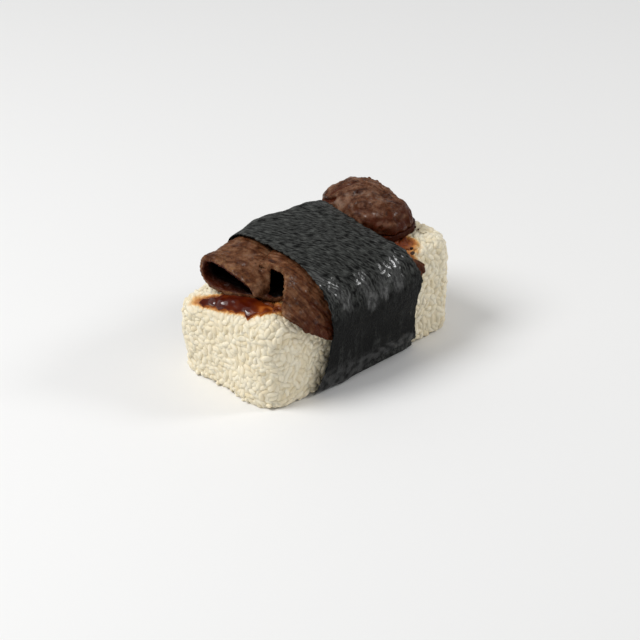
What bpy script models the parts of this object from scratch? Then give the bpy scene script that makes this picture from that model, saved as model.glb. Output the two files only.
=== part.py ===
"""BBQ beef musubi: a block of pressed rice, slices of beef folded on top, and a belt of nori round both.

Units are metres and +Z is up. The rice block lies along X with its shown long side at -Y.
The origin is the middle of the footprint, at the level that the rice rests on.
"""

import math
import random

import bmesh
import bpy
from mathutils import Matrix, Vector, noise
from mathutils.bvhtree import BVHTree

MM = 0.001

# The rice block, as it comes out of a pressing mould
RICE_NEAR_END = -48 * MM
RICE_FAR_END = 46.7 * MM
RICE_WIDTH = 50.5 * MM
RICE_NEAR_HEIGHT = 36 * MM
RICE_FAR_HEIGHT = 39 * MM
RICE_RISE_FROM = -5 * MM
RICE_RISE_TO = 27 * MM
RICE_CORNER = 8 * MM
RICE_SHOULDER = 9 * MM
RICE_FOOT = 1.6 * MM
RICE_TUCK = 0.012
RICE_BULGE = 0.012
RICE_SAG = 5.5 * MM
RICE_SAG_REACH = 26 * MM
SWELL = 1.7 * MM
SWELL_AT = -12 * MM
SWELL_REACH = 13 * MM
CORNER_SWELL = 1.5 * MM
CORNER_SWELL_REACH = 14 * MM
FAR_EDGE_LIFT = 0.8
FAR_EDGE_FROM = 30 * MM
FAR_EDGE_TO = 42 * MM

# The grains that show on it
GRAIN_LENGTH = 6.2 * MM
GRAIN_WIDTH = 2.9 * MM
GRAIN_SPACING = 5.3 * MM
GRAIN_DRAWS = 6000
GRAIN_TILT = math.radians(14)
GRAIN_SUNK = 0.4 * MM
GRAIN_CLEARANCE = 0.4 * MM
GRAIN_SEED = 15

# The slices of beef
BEEF_THICKNESS = 2.1 * MM
BEEF_GAP = 0.4 * MM
CURL_RADIUS = 4.95 * MM
CURL_SLIT = -33.4 * MM
CURL_DROOP = 0.85
MOUND_CENTRE = (29 * MM, 4 * MM)
MOUND_REACH = (11.7 * MM, 19.0 * MM)
MOUND_TOP = 54.5 * MM
MOUND_SQUARENESS = 0.8
FAR_SLICE_THICKNESS = 2.6 * MM

# The belt of nori, a strip cut from a sheet of 210 mm in four
NORI_THICKNESS = 0.5 * MM
NORI_GAP = 0.8 * MM
NORI_LAP = 0.9 * MM
NORI_FLOOR_GAP = 0.35 * MM
NORI_WRINKLE = 0.5 * MM
NORI_SLACK = 2.2 * MM
NORI_COLUMNS = 8
NORI_CENTRE = (0.0, 20 * MM)
BAND_NEAR = -30 * MM
BAND_FAR = 26.5 * MM
BAND_LIFT = 1.3 * MM

# The middle of the footprint, seen from the middle of the rice block
FOOTPRINT_MIDDLE = Vector((-1.1 * MM, -1.8 * MM, 0.0))


def clear_scene():
    for obj in list(bpy.data.objects):
        bpy.data.objects.remove(obj)


def food_material(name, colour, roughness):
    material = bpy.data.materials.new(name)
    material.use_nodes = True
    shader = material.node_tree.nodes["Principled BSDF"]
    shader.inputs["Base Color"].default_value = (*colour, 1.0)
    shader.inputs["Roughness"].default_value = roughness
    shader.inputs["Metallic"].default_value = 0.0
    material.diffuse_color = (*colour, 1.0)
    return material


def add_object(name, mesh, material):
    data = bpy.data.meshes.new(name)
    mesh.to_mesh(data)
    mesh.free()
    if material:
        data.materials.append(material)
    data.shade_smooth()
    obj = bpy.data.objects.new(name, data)
    bpy.context.scene.collection.objects.link(obj)
    return obj


def apply_modifiers(obj):
    graph = bpy.context.evaluated_depsgraph_get()
    data = bpy.data.meshes.new_from_object(obj.evaluated_get(graph))
    obj.modifiers.clear()
    obj.data = data


def ease(value, start, end):
    """0 before start and 1 after end, with a smooth change between them."""
    t = min(1.0, max(0.0, (value - start) / (end - start)))
    return t * t * (3 - 2 * t)


def between(pairs, value):
    """The height at value of the line through (place, height) pairs."""
    if value <= pairs[0][0]:
        return pairs[0][1]
    for (x0, y0), (x1, y1) in zip(pairs, pairs[1:]):
        if value <= x1:
            return y0 + (y1 - y0) * (value - x0) / (x1 - x0)
    return pairs[-1][1]


# Rice

def rice_top(x):
    rise = RICE_FAR_HEIGHT - RICE_NEAR_HEIGHT
    return RICE_NEAR_HEIGHT + rise * ease(x, RICE_RISE_FROM, RICE_RISE_TO)


def round_edges(mesh, chosen, radius, segments):
    bmesh.ops.bevel(
        mesh,
        geom=[edge for edge in mesh.edges if chosen(edge)],
        offset=radius,
        affect="EDGES",
        segments=segments,
        profile=0.5,
        material=-1,
    )


def far_edge_lift(depth):
    """How much the far end's rounded edge is raised, at a depth under the top, to make it squarer."""
    return FAR_EDGE_LIFT * depth * (1 - ease(depth, RICE_SHOULDER / 4, RICE_SHOULDER))


def pressed_shape(point):
    """Moves a point of the plain block to where the pressed block has it."""
    height = point.z / RICE_NEAR_HEIGHT
    tuck = 1 - RICE_TUCK * (1 - height) ** 3 + RICE_BULGE * math.sin(math.pi * height)
    corner = Vector((RICE_NEAR_END, RICE_WIDTH / 2))
    sag = ease((point.xy - corner).length, RICE_SAG_REACH, 0.0)
    x = point.x * (1 + (tuck - 1) * 0.6)
    if point.x < RICE_NEAR_END / 2:
        x -= SWELL * ease(abs(point.y - SWELL_AT), SWELL_REACH, 0.0) * (1 - ease(height, 0.1, 0.6))
    y = point.y * tuck
    swell = CORNER_SWELL * ease((point.xy - corner).length, CORNER_SWELL_REACH, 0.0)
    swell *= ease(height, 0.1, 0.5) * (1 - ease(height, 0.8, 1.0)) * math.sqrt(0.5)
    x -= swell
    y += swell
    z = height * rice_top(point.x) - RICE_SAG * sag * height ** 2
    z += far_edge_lift(RICE_NEAR_HEIGHT - point.z) * ease(point.x, FAR_EDGE_FROM, FAR_EDGE_TO)
    if point.z < BAND_LIFT and BAND_NEAR < point.x < BAND_FAR:
        z = BAND_LIFT
    return Vector((x, y, z))


def rice_core():
    mesh = bmesh.new()
    bmesh.ops.create_cube(mesh, size=1.0)
    length = RICE_FAR_END - RICE_NEAR_END
    middle = (RICE_FAR_END + RICE_NEAR_END) / 2
    bmesh.ops.scale(mesh, vec=(length, RICE_WIDTH, RICE_NEAR_HEIGHT), verts=mesh.verts)
    bmesh.ops.translate(mesh, vec=(middle, 0, RICE_NEAR_HEIGHT / 2), verts=mesh.verts)
    flat = 1e-6
    top = RICE_NEAR_HEIGHT - flat
    round_edges(mesh, lambda edge: abs(edge.verts[0].co.z - edge.verts[1].co.z) > flat, RICE_CORNER, 4)
    round_edges(mesh, lambda edge: min(vert.co.z for vert in edge.verts) > top, RICE_SHOULDER, 4)
    round_edges(mesh, lambda edge: max(vert.co.z for vert in edge.verts) < flat, RICE_FOOT, 2)
    step = 1.2 * MM
    cuts = [((x * MM, 0, 0), (1, 0, 0)) for x in (-38, -20, -5, 3, 11, 19, 35)]
    cuts += [((x, 0, 0), (1, 0, 0)) for x in (BAND_NEAR, BAND_NEAR + step, BAND_FAR - step, BAND_FAR)]
    cuts += [((0, y * MM, 0), (0, 1, 0)) for y in (-12, 8)]
    cuts += [((0, 0, z * MM), (0, 0, 1)) for z in (10, 19)]
    for place, normal in cuts:
        everything = mesh.verts[:] + mesh.edges[:] + mesh.faces[:]
        bmesh.ops.bisect_plane(mesh, geom=everything, plane_co=place, plane_no=normal)
    for vert in mesh.verts:
        vert.co = pressed_shape(vert.co)
    bmesh.ops.triangulate(mesh, faces=mesh.faces[:])
    return add_object("rice", mesh, food_material("rice", (0.80, 0.74, 0.60), 0.55))


# Slices of beef

def walk(start, heading, bends, steps):
    """Points (y, z) along a slice's section: each bend is the length to go and the degrees to turn."""
    y, z = start
    angle = math.radians(heading)
    points = [(y, z)]
    for length, turn in bends:
        half_turn = math.radians(turn) / steps / 2
        for _ in range(steps):
            angle += half_turn
            y += length / steps * math.cos(angle)
            z += length / steps * math.sin(angle)
            angle += half_turn
            points.append((y, z))
    return points


def blended(sections, x, row):
    """The point of a row at x, between the sections on each side of it."""
    y = between([(place, rows[row][0]) for place, rows in sections], x)
    z = between([(place, rows[row][1]) for place, rows in sections], x)
    return Vector((x, y, z))


def slice_object(name, place, rows, columns, thickness, material, offset=0.0, cut=None):
    """A sheet whose place(row, column) gives its points, thickened to a solid; cut names faces to leave out."""
    mesh = bmesh.new()
    bmesh.ops.create_grid(mesh, x_segments=columns - 1, y_segments=rows - 1, size=0.5)
    if cut:
        gone = []
        for face in mesh.faces:
            middle = face.calc_center_median()
            if cut((middle.y + 0.5) * (rows - 1), (middle.x + 0.5) * (columns - 1)):
                gone.append(face)
        bmesh.ops.delete(mesh, geom=gone, context="FACES")
    for vert in mesh.verts:
        row = round((vert.co.y + 0.5) * (rows - 1))
        column = round((vert.co.x + 0.5) * (columns - 1))
        vert.co = place(row, column)
    bmesh.ops.triangulate(mesh, faces=mesh.faces[:], quad_method="FIXED")
    obj = add_object(name, mesh, material)
    thick = obj.modifiers.new("thickness", "SOLIDIFY")
    thick.thickness = thickness
    thick.offset = offset
    apply_modifiers(obj)
    mesh = bmesh.new()
    mesh.from_mesh(obj.data)
    bmesh.ops.recalc_face_normals(mesh, faces=mesh.faces)
    mesh.to_mesh(obj.data)
    mesh.free()
    return obj


def curl_section(x, roll_y, radius, lower_run, after):
    """The rolled slice: along the rice, round the roll and back over the top, then as after says."""
    start = (roll_y - lower_run, rice_top(x) + BEEF_GAP + BEEF_THICKNESS / 2)
    quarter = radius * math.pi / 2
    bends = [(lower_run / 2, 0), (lower_run / 2, 0), (quarter, 90), (quarter, 90)] + after
    return x, walk(start, 0, bends, CURL_STEPS)


CURL_STEPS = 3
CURL_ROWS = 8 * CURL_STEPS + 1
SLIT_ROW = 6 * CURL_STEPS
SLIT_SLANT = 2.4 * MM
CURL_COLUMNS = (-41, -38.5, -36, -33.6, -33.2, -28, -21, -10, 2, 13)
CURL_RIM = ((0, 5), (1, 1.2), (2, -0.8), (3, -1.9), (4, -2.5), (6, -2.6), (9, -2.3), (12, -2.3), (15, -2.1),
            (18, -1.2), (21, -0.4), (24, 0.2))


def near_edge_fall(x):
    """How far the rice's rounded near edge lies under its top."""
    over = max(0.0, RICE_NEAR_END + RICE_SHOULDER - x)
    return RICE_SHOULDER - math.sqrt(RICE_SHOULDER ** 2 - over ** 2)


def beef_curl(material):
    """The near slice: a roll left open at its near end, whose top comes down as a tongue before the slit."""
    tongue = [
        curl_section(-44 * MM, 12.0 * MM, CURL_RADIUS, 17 * MM,
                     [(5 * MM, 20), (6.5 * MM, 2), (6.5 * MM, 3), (3.2 * MM, 58)]),
        curl_section(-40 * MM, 12.3 * MM, CURL_RADIUS, 21 * MM,
                     [(6 * MM, 14), (6.5 * MM, 3), (6.2 * MM, 12), (4.4 * MM, 56)]),
        curl_section(-33.4 * MM, 13 * MM, CURL_RADIUS, 27 * MM,
                     [(8 * MM, 2), (8.5 * MM, 5), (5.5 * MM, 55), (5.4 * MM, 14)]),
    ]
    under = [
        curl_section(-33.4 * MM, 13 * MM, CURL_RADIUS, 27 * MM,
                     [(8 * MM, 2), (8.5 * MM, 5), (2 * MM, 0), (2 * MM, 0)]),
        curl_section(-24 * MM, 14.2 * MM, 5.1 * MM, 30 * MM,
                     [(6.5 * MM, 8), (6 * MM, 10), (2 * MM, 0), (2 * MM, 0)]),
        curl_section(-8 * MM, 14.8 * MM, 5.35 * MM, 31 * MM,
                     [(6.8 * MM, 12), (6 * MM, 12), (2 * MM, 0), (2 * MM, 0)]),
        curl_section(13 * MM, 15.4 * MM, 4.0 * MM, 26 * MM,
                     [(7 * MM, 20), (6.5 * MM, 4), (2 * MM, 0), (2 * MM, 0)]),
    ]

    def place(row, column):
        x = CURL_COLUMNS[column] * MM
        if column == 0:
            x += between(CURL_RIM, row) * MM
        if column == 1:
            x += between(CURL_RIM, row) * 0.35 * MM
        if column == 3:
            x -= SLIT_SLANT * ease(row, SLIT_ROW, CURL_ROWS)
        if column == 2:
            x -= SLIT_SLANT * 0.6 * ease(row, SLIT_ROW, CURL_ROWS)
        point = blended(tongue if x < CURL_SLIT else under, x, row)
        point.z -= CURL_DROOP * near_edge_fall(x) * (1 - ease(row, 2 * CURL_STEPS, 4 * CURL_STEPS))
        return point

    return slice_object(
        "beef_curl",
        place,
        CURL_ROWS,
        len(CURL_COLUMNS),
        BEEF_THICKNESS,
        material,
        cut=lambda row, column: row > SLIT_ROW and column > 3,
    )


DRAPE_STEPS = 2
DRAPE_NEAR_BENDS = ((6.8, 1), (5.7, 13), (4.8, 42), (5.2, -8), (5.0, -3), (5.2, 16), (4.6, 18), (2.5, 8))
DRAPE_MIDDLE_BENDS = ((6.8, 5), (8.0, 15), (7.2, 18), (5.8, 21), (5.5, 14), (5.0, 14), (4.0, 8), (2.0, 2))
DRAPE_FAR_BENDS = ((6.8, 0), (8.0, 2), (7.2, 11), (6.0, 30), (5.6, 30), (5.5, 8), (4.0, 2), (2.0, 0))
DRAPE_ROWS = DRAPE_STEPS * len(DRAPE_NEAR_BENDS) + 1
DRAPE_COLUMNS = 11
DRAPE_NEAR = ((0, -24.5), (1, -30.4), (2, -32.5), (3, -31.8), (4, -30.6), (5, -32), (6, -33.6), (7, -35), (8, -37.3),
              (9, -39.8), (10, -40.8), (11, -39.3), (12, -36.8), (13, -35.5), (14, -33.3), (15, -28.5), (16, -24))
DRAPE_FAR = ((0, 12), (4, 13), (6, 16), (7, 18.5), (8, 24.5), (9, 27.2), (10, 26.5), (11, 22), (13, 12), (16, 2))


def beef_drape(material):
    """The slice over the right shoulder: it leaves the top of the roll and hangs down the rice's long side."""
    near, middle, far = ([(length * MM, turn) for length, turn in bends]
                         for bends in (DRAPE_NEAR_BENDS, DRAPE_MIDDLE_BENDS, DRAPE_FAR_BENDS))
    sections = [
        (-32 * MM, walk((0.3 * MM, 47.6 * MM), 178, near, DRAPE_STEPS)),
        (-22 * MM, walk((0.3 * MM, 47.3 * MM), 180, middle, DRAPE_STEPS)),
        (-8 * MM, walk((0.3 * MM, 47.3 * MM), 180, middle, DRAPE_STEPS)),
        (13 * MM, walk((0.3 * MM, 44.8 * MM), 190, far, DRAPE_STEPS)),
    ]

    def place(row, column):
        near = between(DRAPE_NEAR, row)
        far = between(DRAPE_FAR, row)
        x = (near + (far - near) * column / (DRAPE_COLUMNS - 1)) * MM
        return blended(sections, x, row)

    return slice_object("beef_drape", place, DRAPE_ROWS, DRAPE_COLUMNS, BEEF_THICKNESS, material)


def beef_far_slice(material):
    """The flat slice on the far end of the rice, under the folded one."""
    middle = MOUND_CENTRE
    reach = (15.2 * MM, 19.5 * MM)
    rows = 9
    columns = 9

    def place(row, column):
        across = column / (columns - 1) * 2 - 1
        along = row / (rows - 1) * 2 - 1
        x = middle[0] + reach[0] * across * math.sqrt(1 - 0.42 * along ** 2)
        y = middle[1] + reach[1] * along * math.sqrt(1 - 0.42 * across ** 2)
        wobble = 1 + 0.05 * noise.noise(Vector((x, y, 0)) / (6 * MM))
        x = middle[0] + (x - middle[0]) * wobble
        y = middle[1] + (y - middle[1]) * wobble
        return Vector((x, y, rice_top(x) + BEEF_GAP + FAR_SLICE_THICKNESS / 2))

    return slice_object("beef_far_slice", place, rows, columns, FAR_SLICE_THICKNESS, material)


def beef_far_fold(material):
    """The folded slice at the far end: a rounded mound with an uneven skin and a flat underside."""
    mesh = bmesh.new()
    bmesh.ops.create_uvsphere(mesh, u_segments=26, v_segments=14, radius=1.0)
    base = RICE_FAR_HEIGHT + 2 * BEEF_GAP + FAR_SLICE_THICKNESS
    for vert in mesh.verts:
        a, b, c = (math.copysign(abs(part) ** MOUND_SQUARENESS, part) for part in vert.co)
        lump = 1 + 0.05 * noise.noise(Vector((a, b, c)) * 1.7) + 0.02 * noise.noise(Vector((a, b, c)) * 4)
        x = MOUND_CENTRE[0] + MOUND_REACH[0] * a * lump
        y = MOUND_CENTRE[1] + MOUND_REACH[1] * b * lump
        z = base + (MOUND_TOP - base) * max(0.0, c) * lump
        vert.co = (x, y, z)
        if c <= 0:
            vert.co.xy = Vector(MOUND_CENTRE) + (vert.co.xy - Vector(MOUND_CENTRE)) * 0.98
    bmesh.ops.remove_doubles(mesh, verts=mesh.verts, dist=0.02 * MM)
    bmesh.ops.recalc_face_normals(mesh, faces=mesh.faces)
    return add_object("beef_far_fold", mesh, material)


# Nori

def contents_points(objects):
    points = []
    for obj in objects:
        points += [vert.co.copy() for vert in obj.data.vertices]
        for edge in obj.data.edges:
            a, b = (obj.data.vertices[index].co for index in edge.vertices)
            points += [a.lerp(b, share / 4) for share in (1, 2, 3)]
    return points


def tight_outline(points, x, reach, directions=120):
    """How far a belt pulled tight round the points near x is from NORI_CENTRE, as a function of the angle."""
    near = [(p.y - NORI_CENTRE[0], p.z - NORI_CENTRE[1]) for p in points if abs(p.x - x) < reach]
    support = []
    for index in range(directions):
        angle = 2 * math.pi * index / directions
        c, s = math.cos(angle), math.sin(angle)
        support.append((angle, max(y * c + z * s for y, z in near) + NORI_GAP))

    def radius(angle):
        found = []
        for direction, distance in support:
            facing = math.cos(angle - direction)
            if facing > 0.15:
                found.append(distance / facing)
        return min(found)

    return radius


NORI_START = 197
NORI_END = 575
NORI_FRONT = ((197, -22), (225, -28), (315, -27), (350, -26), (410, -25.8), (430, -25), (480, -24.4),
              (505, -23.6), (530, -22.9), (548, -24.2), (562, -26.5), (575, -29.5))
NORI_BACK = ((197, 23.0), (225, 22.5), (315, 24), (350, 22), (410, 17), (430, 16.2), (450, 16.2), (465, 16.8),
             (480, 17.5), (500, 20), (515, 22), (522, 22.5), (532, 21.2), (555, 20.5), (575, 20.5))
NORI_ANGLES = sorted({*range(NORI_START, NORI_END + 1, 7), 214, 216, 220, 318, 321, 326})
NORI_LAP_FROM = 548
NORI_LAP_TO = 556
SLACK_AT = (-11 * MM, 407)
SLACK_REACH = (13 * MM, 26)


def nori(contents, material):
    """The belt: its first end is under the lap on the shown side, and it goes under the rice and round."""
    points = contents_points(contents)
    stations = [x * MM for x in range(-32, 33, 4)]
    outlines = [tight_outline(points, x, 4.2 * MM) for x in stations]

    def place(row, column):
        share = column / (NORI_COLUMNS - 1)
        ragged = 2.2 * noise.noise(Vector((column * 1.3, 4.2, 0)))
        angle = NORI_ANGLES[row]
        angle += ragged * ease(angle, NORI_LAP_FROM, NORI_END)
        front = between(NORI_FRONT, angle) + 0.5 * noise.noise(Vector((row * 0.45, 1.5, 0)))
        back = between(NORI_BACK, angle) + 0.6 * noise.noise(Vector((row * 0.45, 7.5, 0)))
        x = (front + (back - front) * share) * MM
        turned = math.radians(angle)
        radius = between([(s, outline(turned)) for s, outline in zip(stations, outlines)
                          if abs(s - x) < 8 * MM], x)
        wrinkle = 0.5 + 0.5 * noise.noise(Vector((x / (3.5 * MM), math.cos(turned) * 3, math.sin(turned) * 3)))
        radius += NORI_WRINKLE * wrinkle
        radius += NORI_LAP * ease(angle, NORI_LAP_FROM, NORI_LAP_TO)
        off_slack = math.hypot((x - SLACK_AT[0]) / SLACK_REACH[0], (angle - SLACK_AT[1]) / SLACK_REACH[1])
        radius += NORI_SLACK * ease(off_slack, 1.0, 0.0)
        y = NORI_CENTRE[0] + radius * math.cos(turned)
        z = NORI_CENTRE[1] + radius * math.sin(turned)
        return Vector((x, y, max(z, NORI_FLOOR_GAP + NORI_THICKNESS)))

    rows = len(NORI_ANGLES)
    return slice_object("nori", place, rows, NORI_COLUMNS, NORI_THICKNESS, material, offset=-1.0)


# Grains

def mesh_tree(obj):
    mesh = bmesh.new()
    mesh.from_mesh(obj.data)
    tree = BVHTree.FromBMesh(mesh)
    mesh.free()
    return tree


def surface_draws(core, count, draw):
    """Random places on the core's surface, each with its normal, as likely on each bit of area."""
    faces = [(face.area, face) for face in core.data.polygons]
    chosen = draw.choices([face for _, face in faces], [area for area, _ in faces], k=count)
    for face in chosen:
        a, b, c = (core.data.vertices[index].co for index in face.vertices)
        s, t = draw.random(), draw.random()
        if s + t > 1:
            s, t = 1 - s, 1 - t
        yield a + (b - a) * s + (c - a) * t, face.normal.copy()


def grain_mesh(place, normal, draw):
    mesh = bmesh.new()
    bmesh.ops.create_icosphere(mesh, subdivisions=1, radius=0.5)
    size = draw.uniform(0.88, 1.1)
    scale = Matrix.Diagonal((GRAIN_WIDTH * size, GRAIN_WIDTH * size, GRAIN_LENGTH * size, 1))
    lie_down = Matrix.Rotation(math.pi / 2 + draw.uniform(-GRAIN_TILT, GRAIN_TILT), 4, "X")
    spin = Matrix.Rotation(draw.uniform(0, 2 * math.pi), 4, "Z")
    face_out = normal.to_track_quat("Z", "Y").to_matrix().to_4x4()
    sink = Matrix.Translation(place - normal * GRAIN_SUNK)
    mesh.transform(sink @ face_out @ spin @ lie_down @ scale)
    return mesh


def crosses(mesh, trees):
    """Whether a grain would come within the clearance of a slice or the nori."""
    own = BVHTree.FromBMesh(mesh)
    for tree in trees:
        if tree.overlap(own):
            return True
        if min(tree.find_nearest(vert.co)[3] for vert in mesh.verts) < GRAIN_CLEARANCE:
            return True
    return False


def grains_on(core, toppings):
    """Grains spread evenly over the rice that shows, by keeping each draw that is clear of those before it."""
    draw = random.Random(GRAIN_SEED)
    trees = [mesh_tree(obj) for obj in toppings]
    places = []
    objects = []
    for place, normal in surface_draws(core, GRAIN_DRAWS, draw):
        if any((place - other).length < GRAIN_SPACING for other in places):
            continue
        mesh = grain_mesh(place, normal, draw)
        if min(vert.co.z for vert in mesh.verts) < 0.1 * MM or crosses(mesh, trees):
            mesh.free()
            continue
        places.append(place)
        objects.append(add_object(f"grain_{len(objects)}", mesh, None))
    return objects


def keep_largest_body(obj):
    """Drops the loose scraps that a union can leave."""
    mesh = bmesh.new()
    mesh.from_mesh(obj.data)
    left = set(mesh.verts)
    bodies = []
    while left:
        body = {left.pop()}
        edge_of = list(body)
        while edge_of:
            vert = edge_of.pop()
            for edge in vert.link_edges:
                other = edge.other_vert(vert)
                if other not in body:
                    body.add(other)
                    edge_of.append(other)
        left -= body
        bodies.append(body)
    bodies.sort(key=len)
    scraps = [vert for body in bodies[:-1] for vert in body]
    bmesh.ops.delete(mesh, geom=scraps, context="VERTS")
    mesh.to_mesh(obj.data)
    mesh.free()


def fuse(core, objects):
    collection = bpy.data.collections.new("grains")
    bpy.context.scene.collection.children.link(collection)
    for obj in objects:
        bpy.context.scene.collection.objects.unlink(obj)
        collection.objects.link(obj)
    union = core.modifiers.new("grains", "BOOLEAN")
    union.operation = "UNION"
    union.solver = "MANIFOLD"
    union.operand_type = "COLLECTION"
    union.collection = collection
    apply_modifiers(core)
    for obj in objects:
        bpy.data.objects.remove(obj)
    bpy.data.collections.remove(collection)
    keep_largest_body(core)


def move_to_origin():
    for obj in bpy.data.objects:
        obj.data.transform(Matrix.Translation(-FOOTPRINT_MIDDLE))


clear_scene()
rice = rice_core()
beef = food_material("beef", (0.10, 0.045, 0.025), 0.4)
slices = [beef_curl(beef), beef_drape(beef), beef_far_slice(beef), beef_far_fold(beef)]
belt = nori([rice] + slices[:3], food_material("nori", (0.012, 0.014, 0.013), 0.35))
fuse(rice, grains_on(rice, slices + [belt]))
move_to_origin()
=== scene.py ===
import math
import random

import bmesh
import bpy
from mathutils import Matrix, Vector, noise
from mathutils.bvhtree import BVHTree


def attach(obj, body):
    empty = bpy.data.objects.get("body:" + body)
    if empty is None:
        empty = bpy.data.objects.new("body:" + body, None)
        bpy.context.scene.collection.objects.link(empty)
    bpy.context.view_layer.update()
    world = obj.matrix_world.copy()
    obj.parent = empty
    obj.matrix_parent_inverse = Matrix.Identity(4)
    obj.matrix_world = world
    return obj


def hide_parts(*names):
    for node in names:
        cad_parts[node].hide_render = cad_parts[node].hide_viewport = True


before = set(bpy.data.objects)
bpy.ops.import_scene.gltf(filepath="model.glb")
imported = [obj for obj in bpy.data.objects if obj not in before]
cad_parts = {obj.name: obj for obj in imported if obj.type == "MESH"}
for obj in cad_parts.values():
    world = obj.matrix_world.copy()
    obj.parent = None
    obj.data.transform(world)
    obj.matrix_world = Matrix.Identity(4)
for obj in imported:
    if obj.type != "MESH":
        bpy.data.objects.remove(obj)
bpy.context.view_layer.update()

MM = 0.001
scene = bpy.context.scene


# Pressed rice
# Warm short-grain rice, pushed into an open box mould so that it holds as a block.
# The grains stay whole, lie flat where the mould pressed them and leave small crevices.

RICE_MIDDLE_Y = 1.8 * MM
RICE_NEAR_END = -46.9 * MM
RICE_FAR_END = 47.8 * MM
RICE_WIDTH = 50.5 * MM
RICE_NEAR_HEIGHT = 36 * MM
RICE_FAR_HEIGHT = 39 * MM
RICE_RISE = (-4 * MM, 28 * MM)
RICE_CORNER = 8 * MM
RICE_SHOULDER = 9 * MM
RICE_FOOT = 1.6 * MM
RICE_TUCK = 0.012
RICE_SAG = 5.5 * MM
RICE_SAG_REACH = 26 * MM
RICE_END_TUCK = 0.6
RICE_ROUND_STEPS = 6
RICE_FOOT_STEPS = 3
SWELL = 1.7 * MM
SWELL_PLACE = -12 * MM
SWELL_REACH = 13 * MM
SWELL_FADE = (0.1, 0.6)
CORNER_SWELL = 1.5 * MM
CORNER_SWELL_REACH = 14 * MM
CORNER_SWELL_LOW = (0.1, 0.5)
CORNER_SWELL_HIGH = (0.8, 1.0)
FAR_EDGE_LIFT = 0.8
FAR_EDGE = (31 * MM, 43 * MM)
BAND_NEAR = -28.9 * MM
BAND_FAR = 27.6 * MM
BAND_LIFT = 1.3 * MM
RICE_CUT = 1.9 * MM
CORE_LUMP = 1.9 * MM
CORE_RELIEF = 0.4
CORE_SUNK = 0.42
# The rice seen between the grains gets a darker tone than most grains: a slight painted shade in the crevices.
CORE_TONE = 0.4

GRAIN_LENGTH = 5.2 * MM
GRAIN_WIDTH = 2.6 * MM
GRAIN_FLATNESS = 0.9
GRAIN_SIZES = (0.86, 1.12)
GRAIN_WIDTHS = (0.92, 1.08)
GRAIN_TILT = 20
GRAIN_BEND = 0.16
GRAIN_BEND_SIZE = 1.9 * MM
GRAIN_SPACING = 1.76 * MM
GRAIN_SEED = 5
NOISE_SEED = 5
GRAIN_DRAWS = 60000
GRAIN_SUNK = (0.84 * MM, 1.14 * MM)
GRAIN_SUNK_BY_NORI = 0.9 * MM


noise.seed_set(NOISE_SEED)


def ease(value, start, end):
    """0 before start and 1 after end, with a smooth change between them."""
    t = min(1.0, max(0.0, (value - start) / (end - start)))
    return t * t * (3 - 2 * t)


def between(pairs, value):
    """The height at value of the line through (place, height) pairs."""
    if value <= pairs[0][0]:
        return pairs[0][1]
    for (x0, y0), (x1, y1) in zip(pairs, pairs[1:]):
        if value <= x1:
            return y0 + (y1 - y0) * (value - x0) / (x1 - x0)
    return pairs[-1][1]


def new_piece(name, mesh, material):
    """A smooth-shaded object from a bmesh, with its place in its mesh."""
    data = bpy.data.meshes.new(name)
    mesh.to_mesh(data)
    mesh.free()
    data.materials.append(material)
    data.shade_smooth()
    obj = bpy.data.objects.new(name, data)
    scene.collection.objects.link(obj)
    return obj


def rice_top(x):
    return RICE_NEAR_HEIGHT + (RICE_FAR_HEIGHT - RICE_NEAR_HEIGHT) * ease(x, *RICE_RISE)


def pressed_rice(point):
    """Moves a point of the plain block, centred on y = 0, to where the pressed block has it."""
    height = point.z / RICE_NEAR_HEIGHT
    tuck = 1 - RICE_TUCK * (1 - height) ** 3 + RICE_TUCK * math.sin(math.pi * height)
    corner = Vector((RICE_NEAR_END, RICE_WIDTH / 2))
    sag = ease((point.xy - corner).length, RICE_SAG_REACH, 0.0)
    x = point.x * (1 + (tuck - 1) * RICE_END_TUCK)
    if point.x < RICE_NEAR_END / 2:
        from_swell = abs(point.y - SWELL_PLACE)
        x -= SWELL * ease(from_swell, SWELL_REACH, 0.0) * (1 - ease(height, *SWELL_FADE))
    y = point.y * tuck
    swell = CORNER_SWELL * ease((point.xy - corner).length, CORNER_SWELL_REACH, 0.0)
    swell *= ease(height, *CORNER_SWELL_LOW) * (1 - ease(height, *CORNER_SWELL_HIGH)) * math.sqrt(0.5)
    x -= swell
    y += swell
    z = height * rice_top(point.x) - RICE_SAG * sag * height ** 2
    depth = RICE_NEAR_HEIGHT - point.z
    upright = 1 - ease(depth, RICE_SHOULDER / 4, RICE_SHOULDER)
    z += FAR_EDGE_LIFT * depth * upright * ease(point.x, *FAR_EDGE)
    if point.z < BAND_LIFT and BAND_NEAR < point.x < BAND_FAR:
        z = BAND_LIFT
    return Vector((x, y + RICE_MIDDLE_Y, z))


def bevel_edges(mesh, chosen, radius, segments):
    bmesh.ops.bevel(
        mesh,
        geom=[edge for edge in mesh.edges if chosen(edge)],
        offset=radius,
        affect="EDGES",
        segments=segments,
        profile=0.5,
        material=-1,
    )


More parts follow.
